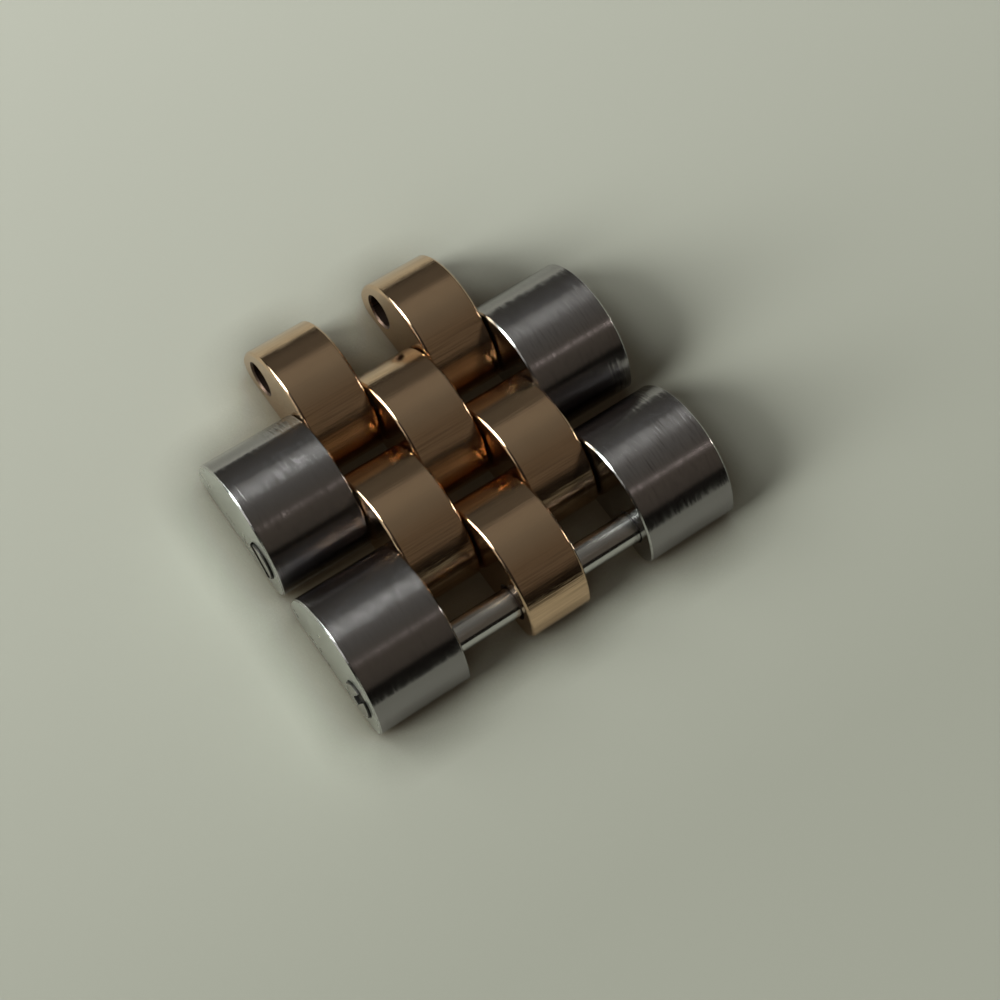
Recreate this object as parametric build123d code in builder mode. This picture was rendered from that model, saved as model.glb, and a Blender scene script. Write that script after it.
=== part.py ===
"""Two joined links of a five-piece wrist bracelet, lying flat with the show side up.

Four rows of D-shaped pieces stand side by side on cross pins. Rows A and C have two
polished centre pieces each. Rows B and D have a brushed outer piece at each side and
a polished centre piece between them. Fixed pins join A to B and C to D. Slotted screw
pins join B to C and close the free end of row D.

+X runs along the pins, +Y towards the free bores of row A, +Z is the show side.
The origin is under the screw pin between rows B and C, at the middle of the width.
"""
import math
import os

from build123d import *

os.makedirs("parts", exist_ok=True)

# Driving sizes in millimetres
half_pitch = 3.4
tip_gap = 0.5
pin_height = 1.3
outer_crown = 2.3
centre_crown = 2.15
end_radius = 0.8
outer_width = 4.1
centre_width = 2.8
side_gap = 0.05
centre_bevel = 0.12
outer_bevel = 0.07

# Pins, and the fits around them
shank_radius = 0.65
running_clearance = 0.06
end_play = 0.02
seat_wall = 0.9
bore_mouth_bevel = 0.08
pin_end_bevel = 0.1

# Slotted head of a screw pin, which stands a little proud of the outer face
head_radius = 0.8
head_height = 0.5
head_stand = 0.1
head_clearance = 0.03
head_bevel = 0.03
slot_width = 0.36
slot_depth = 0.22
slot_turn = {"bc": 35, "d": 110}

# Five columns across the width, with the same gap between neighbours
column_width = {
    "outer_left": outer_width,
    "left": centre_width,
    "middle": centre_width,
    "right": centre_width,
    "outer_right": outer_width,
}
overall_width = sum(width + side_gap for width in column_width.values()) - side_gap
column_left = {}
next_left = -overall_width / 2
for column, width in column_width.items():
    column_left[column] = next_left
    next_left += width + side_gap

# Four rows, half a pitch apart, each carried by one pin axis on its far side and one
# on its near side. Pieces of one column are two rows apart and leave a gap at their tips
rows = "abcd"
row_middle = {row: ((len(rows) - 1) / 2 - place) * half_pitch for place, row in enumerate(rows)}
to_axis = half_pitch / 2
link_length = 2 * half_pitch - tip_gap

bore_radius = shank_radius + running_clearance


def side_plane(x, y, towards=1):
    """The plane square to the pins at x, with its centre on the pin height at y."""
    return Plane(origin=(x, y, pin_height), x_dir=(0, towards, 0), z_dir=(towards, 0, 0))


def trace_link_side(crown):
    """Draws a link from its side: flat underside, round ends, and one arc over both."""
    end_y = link_length / 2 - end_radius
    end_z = end_radius - pin_height
    rise = crown - end_z
    crown_radius = (end_y**2 + rise**2 - end_radius**2) / (2 * (rise - end_radius))
    crown_z = crown - crown_radius
    join_angle = math.degrees(math.atan2(end_z - crown_z, end_y))
    Line((-end_y, -pin_height), (end_y, -pin_height))
    CenterArc((end_y, end_z), end_radius, -90, 90 + join_angle)
    CenterArc((0, crown_z), crown_radius, join_angle, 180 - 2 * join_angle)
    CenterArc((-end_y, end_z), end_radius, 180 - join_angle, 90 + join_angle)


def finish(piece, name):
    """Names a finished piece and writes it to its own file."""
    piece.part.label = name
    export_step(piece.part, f"parts/{name}.step")


# Polished centre pieces: a plain bore on each pin axis, with bevelled mouths
centre_places = [
    ("a", "left"),
    ("a", "right"),
    ("b", "middle"),
    ("c", "left"),
    ("c", "right"),
    ("d", "middle"),
]
for row, column in centre_places:
    left_x = column_left[column]
    right_x = left_x + centre_width
    with BuildPart() as centre_link:
        with BuildSketch(side_plane(left_x, row_middle[row])):
            with BuildLine():
                trace_link_side(centre_crown)
            make_face()
        extrude(amount=centre_width)
        chamfer(centre_link.faces().filter_by(Axis.X).edges(), length=centre_bevel)
        for face_x, towards in ((left_x, -1), (right_x, 1)):
            with Locations(side_plane(face_x, row_middle[row], towards)):
                with Locations((-to_axis, 0), (to_axis, 0)):
                    CounterSinkHole(bore_radius, bore_radius + bore_mouth_bevel, counter_sink_angle=90)
    finish(centre_link, f"centre_link_{row}_{column}")

# Brushed outer pieces: the fixed pin is pressed into a blind seat on the far axis, and
# the screw pin passes a counterbore on the left and ends in a blind seat on the right
seat_depth = outer_width - seat_wall
for row in ("b", "d"):
    far_y = row_middle[row] + to_axis
    near_y = row_middle[row] - to_axis
    for side in ("left", "right"):
        left_x = column_left[f"outer_{side}"]
        right_x = left_x + outer_width
        inner_x, inwards = (right_x, 1) if side == "left" else (left_x, -1)
        with BuildPart() as outer_link:
            with BuildSketch(side_plane(left_x, row_middle[row])):
                with BuildLine():
                    trace_link_side(outer_crown)
                make_face()
            extrude(amount=outer_width)
            chamfer(outer_link.faces().filter_by(Axis.X).edges(), length=outer_bevel)
            with Locations(side_plane(inner_x, far_y, inwards)):
                Hole(shank_radius, depth=seat_depth)
            if side == "left":
                with Locations(side_plane(left_x, near_y, -1)):
                    CounterBoreHole(bore_radius, head_radius + head_clearance,
                                    head_height + end_play - head_stand)
            else:
                with Locations(side_plane(left_x, near_y, -1)):
                    Hole(bore_radius, depth=seat_depth)
        finish(outer_link, f"outer_link_{row}_{side}")

# Fixed hinge pins: plain rods from seat to seat, with bevelled ends
pin_half_length = overall_width / 2 - seat_wall - end_play
for joint, row in (("ab", "b"), ("cd", "d")):
    with BuildPart() as hinge_pin:
        with BuildSketch(side_plane(0, row_middle[row] + to_axis)):
            Circle(shank_radius)
        extrude(amount=pin_half_length, both=True)
        chamfer(hinge_pin.faces().filter_by(Axis.X).edges(), length=pin_end_bevel)
    finish(hinge_pin, f"hinge_pin_{joint}")

# Screw pins: turned in one piece, with a slotted cheese head on the left
screw_left = -overall_width / 2 - head_stand
screw_length = overall_width + head_stand - seat_wall - end_play
for joint, row in (("bc", "b"), ("d", "d")):
    near_y = row_middle[row] - to_axis
    with BuildPart() as screw_pin:
        with BuildSketch(Plane(origin=(screw_left, near_y, pin_height), z_dir=(0, -1, 0), x_dir=(1, 0, 0))):
            with BuildLine():
                Polyline(
                    (0, 0),
                    (0, head_radius - head_bevel),
                    (head_bevel, head_radius),
                    (head_height, head_radius),
                    (head_height, shank_radius),
                    (screw_length - pin_end_bevel, shank_radius),
                    (screw_length, shank_radius - pin_end_bevel),
                    (screw_length, 0),
                    close=True,
                )
            make_face()
        revolve(axis=Axis((screw_left, near_y, pin_height), (1, 0, 0)))
        with BuildSketch(side_plane(screw_left, near_y)):
            Rectangle(3 * head_radius, slot_width, rotation=slot_turn[joint])
        extrude(amount=slot_depth, mode=Mode.SUBTRACT)
    finish(screw_pin, f"screw_pin_{joint}")
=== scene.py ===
"""Two joined links of a five-piece wrist bracelet in polished rose gold and brushed steel."""
from math import atan2, cos, pi, radians, sin

import bmesh
import bpy
from mathutils import Matrix, Vector


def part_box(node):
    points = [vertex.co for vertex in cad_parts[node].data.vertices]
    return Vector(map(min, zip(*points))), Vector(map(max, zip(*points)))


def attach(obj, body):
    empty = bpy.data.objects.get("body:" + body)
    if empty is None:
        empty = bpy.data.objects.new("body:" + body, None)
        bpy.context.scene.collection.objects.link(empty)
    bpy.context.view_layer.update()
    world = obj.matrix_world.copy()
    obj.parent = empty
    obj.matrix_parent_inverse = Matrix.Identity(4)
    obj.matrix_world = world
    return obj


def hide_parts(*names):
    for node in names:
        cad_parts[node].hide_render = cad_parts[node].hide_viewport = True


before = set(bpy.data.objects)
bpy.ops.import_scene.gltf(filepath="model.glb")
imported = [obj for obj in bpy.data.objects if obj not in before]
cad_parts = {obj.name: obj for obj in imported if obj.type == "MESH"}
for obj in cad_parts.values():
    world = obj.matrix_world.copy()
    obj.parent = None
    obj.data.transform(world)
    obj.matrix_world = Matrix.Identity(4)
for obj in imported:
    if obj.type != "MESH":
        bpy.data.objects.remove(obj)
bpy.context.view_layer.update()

# Centre pieces: solid rose gold, milled to a D-shaped section, bored on both pin axes
# and then polished to a mirror. The bevels round their side faces are polished too.
mm = 0.001
end_radius = 0.8 * mm
bore_radius = 0.71 * mm
mouth_bevel = 0.08 * mm
centre_bevel = 0.12 * mm

# How far in and out each strip of a rounded bevel goes, as shares of the bevel
round_shares = ((0.125, 0.29), (0.585, 0.585), (0.29, 0.125))
# A narrow strip on both sides of a bevel keeps the faces beside it flat in smooth shading
rim_hold = 0.01 * mm
end_steps = 26
crown_steps = 72
bore_segments = 64
soft_edge = radians(30)
merge_distance = 0.0001 * mm

# How far along X a face points, at least, if it belongs to the flat side or to its bevel
flat_lean = 0.9
bevel_lean = 0.05
crown_face, side_face, bore_face = range(3)


def middle(node):
    """The middle of a node's box at rest."""
    lo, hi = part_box(node)
    return (lo + hi) / 2


axis_ab, axis_bc = middle("hinge_pin_ab"), middle("screw_pin_bc")
to_axis = (axis_ab.y - axis_bc.y) / 2
pin_z = axis_ab.z


def pull_outline(lo, hi, bevel):
    """A bar of the link's outline, drawn by a running point and pulled across its width."""
    bm = bmesh.new()
    end_y = (hi.y - lo.y) / 2 - end_radius
    end_z = lo.z + end_radius
    rise = hi.z - end_z
    crown_radius = (end_y**2 + rise**2 - end_radius**2) / (2 * (rise - end_radius))
    crown_z = hi.z - crown_radius
    half_crown = atan2(end_y, end_z - crown_z)
    middle_y = (lo.y + hi.y) / 2
    rim = rim_hold + bevel
    x = lo.x + rim
    point = bmesh.ops.create_vert(bm, co=(x, middle_y - end_y, lo.z))["vert"][0]
    first = point
    for y, z, turn, steps in (
        (middle_y - end_y, end_z, pi - half_crown, end_steps),
        (middle_y, crown_z, 2 * half_crown, crown_steps),
        (middle_y + end_y, end_z, pi - half_crown, end_steps),
    ):
        made = bmesh.ops.spin(bm, geom=[point], cent=(x, y, z), axis=(-1, 0, 0), angle=turn,
                              steps=steps)
        point = made["geom_last"][0]
    bmesh.ops.contextual_create(bm, geom=[first, point])
    side = bmesh.ops.contextual_create(bm, geom=bm.edges[:])["faces"]
    pulled = bmesh.ops.extrude_face_region(bm, geom=side)["geom"]
    moved = [v for v in pulled if isinstance(v, bmesh.types.BMVert)]
    bmesh.ops.translate(bm, verts=moved, vec=(hi.x - lo.x - 2 * rim, 0, 0))
    bmesh.ops.recalc_face_normals(bm, faces=bm.faces)
    return bm


def bevel_side(bm, towards, bevel, shares):
    """Bevels the rim of one side face and takes the face out. Gives the edges left round it."""
    flat = [face for face in bm.faces if face.normal.x * towards > flat_lean]
    face = max(flat, key=lambda flat_face: flat_face.calc_area())
    steps = [(inwards * bevel, outwards * bevel) for inwards, outwards in shares]
    for inwards, outwards in ((0, rim_hold), *steps, (rim_hold, 0)):
        bmesh.ops.inset_region(bm, faces=[face], thickness=inwards, depth=outwards,
                               use_boundary=True, use_even_offset=True)
    outline = face.edges[:]
    bmesh.ops.delete(bm, geom=[face], context="FACES_ONLY")
    return outline


def sink_bore(bm, y, sections, blind=False):
    """Runs a ring along a pin axis through (x, radius) sections. Gives its first and last ring."""
    x, radius = sections[0]
    turned_place = Matrix.Translation((x, y, pin_z)) @ Matrix.Rotation(radians(90), 4, "Y")
    ring = bmesh.ops.create_circle(bm, cap_ends=False, segments=bore_segments, radius=radius,
                                   matrix=turned_place)
    first = list({edge for v in ring["verts"] for edge in v.link_edges})
    last = first
    for next_x, next_radius in sections[1:]:
        made = bmesh.ops.extrude_edge_only(bm, edges=last)["geom"]
        verts = [v for v in made if isinstance(v, bmesh.types.BMVert)]
        share = next_radius / radius
        bmesh.ops.scale(bm, verts=verts, vec=(1, share, share),
                        space=Matrix.Translation((-x, -y, -pin_z)))
        bmesh.ops.translate(bm, verts=verts, vec=(next_x - x, 0, 0))
        last = [edge for edge in made if isinstance(edge, bmesh.types.BMEdge) and edge.is_boundary]
        x, radius = next_x, next_radius
    if blind:
        bmesh.ops.contextual_create(bm, geom=last)
        last = []
    return first, last


def close_side(bm, outline, rings, towards):
    """Fills the flat of a side face between its rim and the bores that open in it."""
    edges = outline + [edge for ring in rings for edge in ring]
    bmesh.ops.triangle_fill(bm, use_beauty=True, use_dissolve=False, edges=edges,
                            normal=(towards, 0, 0))


def sort_faces(bm, axes, reach):
    """Gives each face of a link its finish: crown, polished side and bevel, or bore wall."""
    for face in bm.faces:
        spot = face.calc_center_median()
        in_bore = any(Vector((0, spot.y - y, spot.z - pin_z)).length < reach for y in axes)
        face.material_index = crown_face
        if abs(face.normal.x) > bevel_lean:
            face.material_index = side_face
        if in_bore and abs(face.normal.x) <= flat_lean:
            face.material_index = bore_face


def finish_mesh(bm, name, body, nodes, finishes):
    """Turns a closed bmesh into a smooth piece that stands for its nodes."""
    bmesh.ops.remove_doubles(bm, verts=bm.verts, dist=merge_distance)
    bmesh.ops.recalc_face_normals(bm, faces=bm.faces)
    for face in bm.faces:
        face.smooth = True
    for edge in bm.edges:
        edge.smooth = edge.calc_face_angle(0) < soft_edge
    mesh = bpy.data.meshes.new(name)
    bm.to_mesh(mesh)
    bm.free()
    piece = bpy.data.objects.new(name, mesh)
    bpy.context.scene.collection.objects.link(piece)
    for finish in finishes:
        mesh.materials.append(finish)
    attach(piece, body)
    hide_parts(*nodes)
    return piece


class Tone:
    """A value, colour or place that varies over a surface: one socket of its node tree."""

    def __init__(self, tree, socket=None):
        self.tree = tree
        self.socket = socket

    def make(self, kind, settings=None, inputs=None, output=0):
        """Adds a node, its settings first, then the values or links of its sockets."""
        node = self.tree.nodes.new(kind)
        for name, setting in (settings or {}).items():
            if name == "stops":
                ramp = node.color_ramp.elements
                while len(ramp) < len(setting):
                    ramp.new(0.5)
                for element, (place, colour) in zip(ramp, setting):
                    element.position = place
                    element.color = (*colour, 1)
            else:
                setattr(node, name, setting)
        for name, value in (inputs or {}).items():
            if isinstance(value, Tone):
                self.tree.links.new(value.socket, node.inputs[name])
            else:
                node.inputs[name].default_value = value
        return Tone(self.tree, node.outputs[output])

    def maths(self, operation, *values):
        """The result of a Math node on tones or numbers."""
        return self.make("ShaderNodeMath", {"operation": operation}, dict(enumerate(values)))

    def __add__(self, other):
        return self.maths("ADD", self, other)

    def __radd__(self, other):
        return self.maths("ADD", other, self)

    def __sub__(self, other):
        return self.maths("SUBTRACT", self, other)

    def __rsub__(self, other):
        return self.maths("SUBTRACT", other, self)

    def __mul__(self, other):
        return self.maths("MULTIPLY", self, other)

    def __rmul__(self, other):
        return self.maths("MULTIPLY", other, self)

    def noise(self, size, detail, roughness):
        """Fractal noise whose grains have the given size along X, Y and Z, from 0 to 1."""
        stretched = self.make("ShaderNodeVectorMath", {"operation": "MULTIPLY"},
                              {0: self, 1: tuple(1 / grain for grain in size)})
        return self.make("ShaderNodeTexNoise", None, {
            "Vector": stretched, "Scale": 1.0, "Detail": detail, "Roughness": roughness})

    def blend(self, low, high):
        """A colour between two, with this value as the share of the second."""
        low, high = (end if isinstance(end, Tone) else (*end, 1) for end in (low, high))
        # Sockets 6 and 7 are the two colours, and output 2 is the mixed one
        return self.make("ShaderNodeMix", {"data_type": "RGBA"}, {0: self, 6: low, 7: high}, 2)

    def part(self, axis):
        """One of the three parts of a place or direction."""
        return self.make("ShaderNodeSeparateXYZ", None, {"Vector": self}, axis)


def shade(colour, share):
    """A colour brought down to a share of itself."""
    return tuple(share * part for part in colour)


def start_finish(name):
    """A new metal with a Principled shader. Gives both and the place on the piece."""
    material = bpy.data.materials.new(name)
    material.use_nodes = True
    shader = material.node_tree.nodes["Principled BSDF"]
    shader.inputs["Metallic"].default_value = 1
    place = Tone(material.node_tree).make("ShaderNodeTexCoord", output="Object")
    return material, shader, place


def feed(shader, **tones):
    """Links varying tones to the shader's sockets."""
    for name, tone in tones.items():
        tone.tree.links.new(tone.socket, shader.inputs[name.replace("_", " ").title()])


def rounded_ends(place, start, full):
    """A mask of a link's round ends, from how far the surface leans to the front or back."""
    facing = place.make("ShaderNodeTexCoord", output="Normal").part("Y")
    return facing.make("ShaderNodeMapRange", {"interpolation_type": "SMOOTHSTEP"}, {
        "Value": facing.maths("ABSOLUTE", facing), "From Min": start, "From Max": full})


def polish(name, dark, light, rough_low, rough_high):
    """A mirror polish: faint smears in the gloss, polishing lines along X and along Y, and darker
    milling lines on the rounded ends, which are partly painted shade.
    """
    material, shader, place = start_finish(name)
    smear = place.noise((0.9 * mm,) * 3, detail=3, roughness=0.6)
    along_y = place.noise((0.03 * mm, 1.4 * mm, 1.4 * mm), detail=2, roughness=0.6)
    along_x = place.noise((2.5 * mm, 0.045 * mm, 0.045 * mm), detail=2, roughness=0.6)
    # Broader lines along X are left from the milling, and were polished off the crown only. On the
    # rounded ends they are painted darker, partly as painted shade of the narrow valleys between the
    # pieces
    milling = place.noise((3.0 * mm, 0.07 * mm, 0.07 * mm), detail=2, roughness=0.6)
    ends = rounded_ends(place, start=0.28, full=0.6)
    line_contrast, line_start = 3.0, 1.3
    milling_and_shade = ends * (milling * line_contrast - line_start)
    clean = smear.blend(dark, light)
    height = along_y * 0.2 + along_x * 0.8 + ends * milling * 0.8
    bump = place.make("ShaderNodeBump", None, {
        "Strength": 0.5, "Distance": 0.01 * mm, "Height": height})
    feed(shader, base_color=milling_and_shade.blend(clean, shade(dark, 0.7)), normal=bump,
         roughness=rough_low + (rough_high - rough_low) * smear)
    return material


gold_polish = polish("gold_polish", (0.64, 0.445, 0.29), (0.71, 0.50, 0.33), 0.09, 0.16)
# Painted shade: the bore walls are a near-black gold, because the inside of a bore is dark
gold_bore_painted_shade = polish("gold_bore_painted_shade", (0.07, 0.045, 0.035), (0.12, 0.08, 0.06), 0.4, 0.5)

gold_pieces = {
    "centre_link_a_left": "ear_a_left",
    "centre_link_a_right": "ear_a_right",
    "centre_link_b_middle": "row_b",
    "centre_link_c_left": "row_c",
    "centre_link_c_right": "row_c",
    "centre_link_d_middle": "row_d",
}
for node, body in gold_pieces.items():
    lo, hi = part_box(node)
    axes = [middle(node).y - to_axis, middle(node).y + to_axis]
    bm = pull_outline(lo, hi, centre_bevel)
    left_rim = bevel_side(bm, -1, centre_bevel, round_shares)
    right_rim = bevel_side(bm, 1, centre_bevel, round_shares)
    mouth_radius = bore_radius + mouth_bevel
    sections = [(lo.x, mouth_radius), (lo.x + mouth_bevel, bore_radius),
                (hi.x - mouth_bevel, bore_radius), (hi.x, mouth_radius)]
    rings = [sink_bore(bm, y, sections) for y in axes]
    close_side(bm, left_rim, [first for first, last in rings], -1)
    close_side(bm, right_rim, [last for first, last in rings], 1)
    sort_faces(bm, axes, mouth_radius)
    finish_mesh(bm, node.replace("centre_link", "gold_link"), body, [node],
                [gold_polish, gold_polish, gold_bore_painted_shade])

# Outer pieces: solid steel of a slightly higher crown, brushed along the bracelet on the
# crown, with polished bevels and inner sides and satin outer sides. The left ones are
# counterbored for the screw heads, and all have blind seats for the fixed pins.
outer_bevel = 0.07 * mm
# One broad flat strip with a narrow rounding on both sides of it
flat_shares = ((0.06, 0.15), (0.05, 0.05), (0.69, 0.69), (0.05, 0.05), (0.15, 0.06))
seat_wall = 0.9 * mm
seat_radius = 0.65 * mm
recess_radius = 0.83 * mm
recess_depth = 0.42 * mm
outer_face = 3


def brush(name, dark, light, spread):
    """Brushed along Y: fine streaks, which fan every reflection out sideways. The rounded ends are
    painted darker, as painted shade.
    """
    material, shader, place = start_finish(name)
    shader.inputs["Anisotropic"].default_value = 1.0
    fine = place.noise((0.03 * mm, 1.6 * mm, 1.6 * mm), detail=2, roughness=0.6) - 0.5
    coarse = place.noise((0.08 * mm, 0.7 * mm, 0.7 * mm), detail=1, roughness=0.5) - 0.5
    broad = place.noise((0.6 * mm, 2.5 * mm, 2.5 * mm), detail=2, roughness=0.6)
    streaks = (fine + coarse + 0.5).blend(dark, light)
    # Painted shade: the rounded ends, which face the floor and the neighbouring pieces, are darker
    # than the crown
    ends = rounded_ends(place, start=0.5, full=0.7)
    tilt = place.make("ShaderNodeCombineXYZ", None, {"X": (fine + coarse) * -spread})
    facing = place.make("ShaderNodeNewGeometry", output="Normal")
    tilted = place.make("ShaderNodeVectorMath", {"operation": "ADD"}, {0: facing, 1: tilt})
    feed(shader, base_color=ends.blend(streaks, shade(dark, 0.86)),
         roughness=0.18 + 0.05 * broad + 0.05 * fine,
         normal=place.make("ShaderNodeVectorMath", {"operation": "NORMALIZE"}, {0: tilted}))
    return material


def spread_along_x(piece):
    """Makes reflections spread along X. The direction follows from where the texture space is."""
    piece.data.use_auto_texspace = False
    piece.data.texspace_location = (0, 1000 * mm, 0)
    piece.data.texspace_size = (10 * mm, 10 * mm, 10 * mm)


steel_brush = brush("steel_brush", (0.33, 0.312, 0.316), (0.42, 0.397, 0.402), spread=0.5)
steel_polish = polish("steel_polish", (0.50, 0.49, 0.48), (0.58, 0.57, 0.56), 0.07, 0.12)
steel_side = polish("steel_side", (0.60, 0.61, 0.58), (0.69, 0.70, 0.665), 0.24, 0.34)
steel_bore = polish("steel_bore", (0.36, 0.35, 0.34), (0.50, 0.49, 0.48), 0.22, 0.34)

for row, body in (("b", "row_b"), ("d", "row_d")):
    for side, outwards in (("left", -1), ("right", 1)):
        node = f"outer_link_{row}_{side}"
        lo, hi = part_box(node)
        near_y, far_y = middle(node).y - to_axis, middle(node).y + to_axis
        bm = pull_outline(lo, hi, outer_bevel)
        left_rim = bevel_side(bm, -1, outer_bevel, flat_shares)
        right_rim = bevel_side(bm, 1, outer_bevel, flat_shares)
        if side == "left":
            seat_sections = [(hi.x, seat_radius), (lo.x + seat_wall, seat_radius)]
            seat, _ = sink_bore(bm, far_y, seat_sections, blind=True)
            recess_x = lo.x + recess_depth
            recess, shank = sink_bore(bm, near_y, [
                (lo.x, recess_radius), (recess_x, recess_radius),
                (recess_x, bore_radius), (hi.x, bore_radius)])
            close_side(bm, left_rim, [recess], -1)
            close_side(bm, right_rim, [seat, shank], 1)
        else:
            seats = [sink_bore(bm, y, [(lo.x, radius), (hi.x - seat_wall, radius)], blind=True)[0]
                     for y, radius in ((far_y, seat_radius), (near_y, bore_radius))]
            close_side(bm, left_rim, seats, -1)
            close_side(bm, right_rim, [], 1)
        sort_faces(bm, [near_y, far_y], recess_radius + rim_hold)
        for face in bm.faces:
            if face.material_index == side_face and face.normal.x * outwards > 0.99:
                face.material_index = outer_face
        piece = finish_mesh(bm, f"steel_link_{row}_{side}", body, [node],
                            [steel_brush, steel_polish, steel_bore, steel_side])
        spread_along_x(piece)

# Fixed pins: plain turned steel rods with bevelled ends. Each is pressed into the blind
# seats of both outer pieces of its row, and the centre pieces of the next row turn on it.
pin_bevel = 0.1 * mm
turn_segments = 64


def turn_profile(points, y, z):
    """Turns a profile of (x, radius) points about a pin axis, as on a lathe."""
    bm = bmesh.new()
    verts = [bmesh.ops.create_vert(bm, co=(x, y, z + radius))["vert"][0] for x, radius in points]
    for one, two in zip(verts, verts[1:]):
        bmesh.ops.contextual_create(bm, geom=[one, two])
    bmesh.ops.spin(bm, geom=bm.verts[:] + bm.edges[:], cent=(0, y, z), axis=(1, 0, 0),
                   angle=2 * pi, steps=turn_segments, use_merge=True)
    bmesh.ops.remove_doubles(bm, verts=bm.verts, dist=merge_distance)
    return bm


def turned(name):
    """Turned and polished: fine rings round the axis, which spread reflections along it."""
    material, shader, place = start_finish(name)
    shader.inputs["Anisotropic"].default_value = 1.0
    rings = place.noise((0.02 * mm, 3 * mm, 3 * mm), detail=3, roughness=0.7)
    smear = place.noise((0.6 * mm,) * 3, detail=3, roughness=0.6)
    bump = place.make("ShaderNodeBump", None, {
        "Strength": 0.1, "Distance": 0.004 * mm, "Height": rings})
    feed(shader, base_color=smear.blend((0.48, 0.47, 0.46), (0.58, 0.57, 0.56)),
         roughness=0.12 + 0.1 * rings, normal=bump)
    return material


pin_finish = turned("pin_finish")
for joint, body in (("ab", "row_b"), ("cd", "row_d")):
    node = f"hinge_pin_{joint}"
    lo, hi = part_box(node)
    radius = (hi.z - lo.z) / 2
    points = [(lo.x, 0), (lo.x, radius - pin_bevel), (lo.x + pin_bevel, radius),
              (hi.x - pin_bevel, radius), (hi.x, radius - pin_bevel), (hi.x, 0)]
    bm = turn_profile(points, middle(node).y, pin_z)
    piece = finish_mesh(bm, f"fixed_pin_{joint}", body, [node], [pin_finish])
    spread_along_x(piece)

# Screw pins: turned in one piece with a slotted cheese head, which stands a little proud
# of the outer face of the left outer piece. The slot and the sides of the head, sunk in the
# recess, are painted near black: painted shade of the deep slot and of the recess round the head.
head_height = 0.5 * mm
head_bevel = 0.03 * mm
shank_radius = 0.65 * mm
slot_width = 0.36 * mm
slot_depth = 0.22 * mm
slot_turns = {"bc": radians(35), "d": radians(110)}
near_enough = 0.001 * mm
head_face, painted_head_shade_face = range(2)


def cut_slot(bm, x, y, angle):
    """Cuts the driver's slot across the head: slices it out, then closes its walls and floor."""
    across = Vector((0, -sin(angle), cos(angle)))
    centre = Vector((x, y, pin_z))
    bottom_x = x + slot_depth

    def on_wall(v, side):
        return abs((v.co - centre).dot(across) - side * slot_width / 2) < near_enough

    def on_bottom(v):
        return abs(v.co.x - bottom_x) < near_enough

    cuts = [(centre + across * side * slot_width / 2, across) for side in (-1, 1)]
    for place, facing in (*cuts, ((bottom_x, 0, 0), (1, 0, 0))):
        bmesh.ops.bisect_plane(bm, geom=bm.verts[:] + bm.edges[:] + bm.faces[:],
                               plane_co=place, plane_no=facing, dist=merge_distance)
    inside = [face for face in bm.faces
              if face.calc_center_median().x < bottom_x - near_enough
              and abs((face.calc_center_median() - centre).dot(across)) < slot_width / 2]
    bmesh.ops.delete(bm, geom=inside, context="FACES")
    for side in (-1, 1):
        wall = [edge for edge in bm.edges
                if edge.is_boundary and all(on_wall(v, side) for v in edge.verts)]
        ends = list(dict.fromkeys(v for edge in wall for v in edge.verts if on_bottom(v)))
        foot = bmesh.ops.contextual_create(bm, geom=ends)["edges"]
        bmesh.ops.contextual_create(bm, geom=wall + foot)
    bottom = [edge for edge in bm.edges
              if edge.is_boundary and all(on_bottom(v) for v in edge.verts)]
    bmesh.ops.contextual_create(bm, geom=bottom)


# Painted shade: a near-black finish for the slot and for the head's sides in the recess
painted_head_shade = polish("painted_head_shade", (0.03, 0.028, 0.025), (0.07, 0.065, 0.06), 0.4, 0.6)
for joint, body in (("bc", "screw_bc"), ("d", "screw_d")):
    node = f"screw_pin_{joint}"
    lo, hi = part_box(node)
    head_radius = (hi.z - lo.z) / 2
    points = [(lo.x, 0), (lo.x, head_radius - head_bevel), (lo.x + head_bevel, head_radius),
              (lo.x + head_height, head_radius), (lo.x + head_height, shank_radius),
              (hi.x - pin_bevel, shank_radius), (hi.x, shank_radius - pin_bevel), (hi.x, 0)]
    bm = turn_profile(points, middle(node).y, pin_z)
    cut_slot(bm, lo.x, middle(node).y, slot_turns[joint])
    bm.normal_update()
    for face in bm.faces:
        face_x = face.calc_center_median().x
        sunk = lo.x + near_enough < face_x < lo.x + head_height - near_enough
        face.material_index = painted_head_shade_face if sunk else head_face
    piece = finish_mesh(bm, f"slotted_pin_{joint}", body, [node],
                        [pin_finish, painted_head_shade])
    spread_along_x(piece)

# Floor: a plain pale surface, and not part of the object. Its colour is painted a little darker
# towards the front, as a falloff of the light, and a warm dark painted shade gathers where it
# sees little of the sky. It also has a faint painted glow.
floor_size = 0.4
floor_fade = 60 * mm
floor_share = 0.3
shade_reach = 2.4 * mm
bm = bmesh.new()
bmesh.ops.create_grid(bm, x_segments=1, y_segments=1, size=floor_size)
mesh = bpy.data.meshes.new("floor")
bm.to_mesh(mesh)
bm.free()
floor = bpy.data.objects.new("floor", mesh)
bpy.context.scene.collection.objects.link(floor)
floor_finish, shader, place = start_finish("floor_finish")
shader.inputs["Metallic"].default_value = 0
shader.inputs["Roughness"].default_value = 0.9
shader.inputs["Specular IOR Level"].default_value = 0.1
# Painted light: a faint warm glow, which lifts the dark gaps between the pieces
shader.inputs["Emission Color"].default_value = (0.010, 0.007, 0.004, 1)
shader.inputs["Emission Strength"].default_value = 1
# Painted shade: the colour goes to a warm dark brown where the floor sees little of the sky, more
# steeply for the squared value
open_sky = place.make("ShaderNodeAmbientOcclusion", {"samples": 8}, {"Distance": shade_reach}, "AO")
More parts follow.
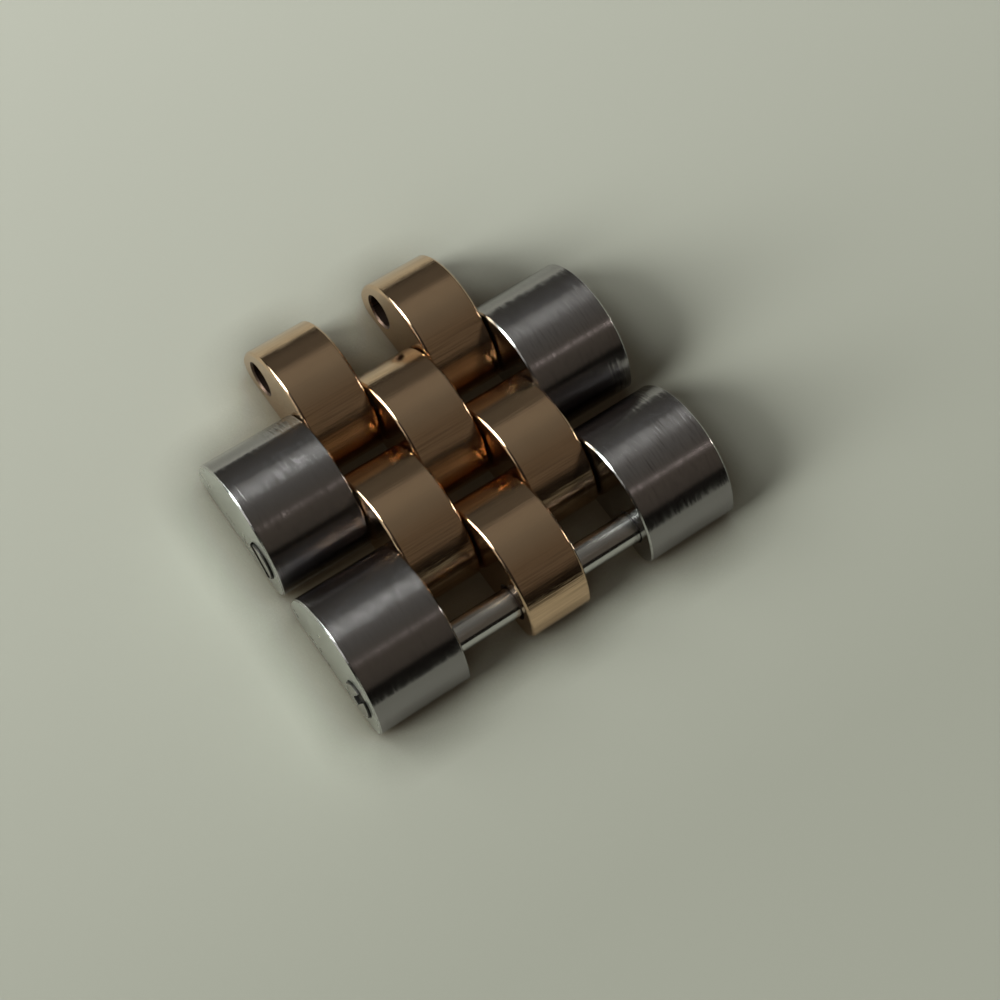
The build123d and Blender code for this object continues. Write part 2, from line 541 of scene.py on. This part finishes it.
# Painted light: the colour is lighter towards the back, where more light falls
towards_back = place.part("Y") * (1 / floor_fade) + floor_share
pale = towards_back.blend((0.415, 0.435, 0.368), (0.65, 0.675, 0.59))
feed(shader, base_color=(open_sky * open_sky).blend((0.05, 0.038, 0.02), pale))
mesh.materials.append(floor_finish)

# Room: a dim one, brightest overhead and a little to the back, with warm dark tones at
# the front. It fades to both sides. The metal shows it more strongly than the floor does,
# and the camera sees a plain pale wall.
pale_wall = (0.44, 0.455, 0.385)
black = (0.0, 0.0, 0.0)
grey_room = (1.0, 0.97, 0.85)
warm_room = (1.0, 0.86, 0.67)
# Degrees from straight up towards the back, with the tint and level there
room_bands = (
    (-90, warm_room, 0.012), (-68, warm_room, 0.012), (-62, warm_room, 0.108),
    (-30, warm_room, 0.115), (2, grey_room, 0.155), (20, grey_room, 0.205),
    (43, grey_room, 0.215), (46, grey_room, 0.09), (70, grey_room, 0.09), (88, grey_room, 0.04),
)
brightest_x = 0.25
fade_start, fade_end, fade_share = 0.2, 0.6, 0.75
floor_level = 0.35

world = bpy.data.worlds.new("room")
bpy.context.scene.world = world
world.use_nodes = True
room = Tone(world.node_tree)
direction = room.make("ShaderNodeTexCoord", output="Generated")
turn_back = direction.maths("ARCTAN2", direction.part("Y"), direction.part("Z"))
stops = [(0.5 + degrees / 360, shade(tint, level)) for degrees, tint, level in room_bands]
band = room.make("ShaderNodeValToRGB", {"stops": stops}, {"Fac": turn_back * (1 / (2 * pi)) + 0.5})
aside = direction.maths("ABSOLUTE", direction.part("X") - brightest_x)
dim = room.make("ShaderNodeMapRange", {"interpolation_type": "SMOOTHSTEP"}, {
    "Value": aside, "From Min": fade_start, "From Max": fade_end,
    "To Min": 0.0, "To Max": fade_share})
in_metal = room.make("ShaderNodeLightPath", output="Is Glossy Ray") * (1 - floor_level) + floor_level
in_view = room.make("ShaderNodeLightPath", output="Is Camera Ray")
around = in_metal.blend(black, dim.blend(band, black))
feed(world.node_tree.nodes["Background"], color=in_view.blend(around, pale_wall))

# Lamps: the metal shows a tall soft window at the back left, its glow in the corner and low
# down, and a narrow lit gap on the right. Three large far boxes light the floor instead,
# the strongest of them low on the left.
near, far = 0.45, 1.5
window_light = (1.0, 1.07, 1.05)
low_light = (1.0, 0.98, 0.95)
gap_light = (1.0, 0.88, 0.82)
fill_light = (1.0, 1.0, 0.97)


def soft_lamp(name, towards, distance, size, radiance, colour, lights_metal=True, roll=0):
    """A soft box that faces the object, seen either in the metal or in the floor's light."""
    width, height = size
    lamp = bpy.data.lights.new(name, "AREA")
    lamp.shape = "RECTANGLE"
    lamp.size = width
    lamp.size_y = height
    lamp.energy = radiance * pi * width * height
    lamp.color = colour
    box = bpy.data.objects.new(name, lamp)
    bpy.context.scene.collection.objects.link(box)
    box.location = Vector(towards).normalized() * distance
    facing = (-box.location).to_track_quat("-Z", "Y").to_matrix()
    box.rotation_euler = (facing @ Matrix.Rotation(roll, 3, "Z")).to_euler()
    box.visible_glossy = lights_metal
    box.visible_diffuse = not lights_metal


soft_lamp("window_lamp", (-0.77, 0.455, 0.47), near, (0.12, 0.25), 26.0, window_light)
soft_lamp("corner_lamp", (-0.64, 0.66, 0.34), near, (0.14, 0.12), 5.0, window_light)
soft_lamp("low_lamp", (-0.93, 0.25, 0.24), near, (0.26, 0.11), 0.8, low_light)
soft_lamp("side_lamp", (0.945, -0.175, 0.28), near, (0.018, 0.16), 34.0, gap_light,
          roll=radians(26))
soft_lamp("left_fill", (-0.86, 0.12, 0.42), far, (0.60, 0.88), 16.5, fill_light,
          lights_metal=False)
soft_lamp("back_fill", (-0.52, 0.66, 0.54), far, (1.00, 0.67), 4.6, fill_light,
          lights_metal=False)
soft_lamp("front_fill", (-0.60, -0.62, 0.50), far, (1.00, 0.67), 2.2, fill_light,
          lights_metal=False)

# Camera: the photograph's own angle, from the front left and well above. Its place, aim,
# turn and lens were fitted to the outlines of the pieces.
camera_place = Vector((-20.606, -28.193, 70.369)) * mm
aim = Vector((0.694, -2.980, 1.300)) * mm
camera_roll = radians(5.8)
camera = bpy.data.cameras.new("camera")
camera.sensor_width = 36
camera.lens = 70.06
camera.clip_start = 0.001
camera_object = bpy.data.objects.new("camera", camera)
bpy.context.scene.collection.objects.link(camera_object)
camera_object.location = camera_place
camera_object.rotation_euler = ((aim - camera_place).to_track_quat("-Z", "Y").to_matrix()
                                @ Matrix.Rotation(camera_roll, 3, "Z")).to_euler()
bpy.context.scene.camera = camera_object

bpy.context.scene.view_settings.view_transform = "Standard"
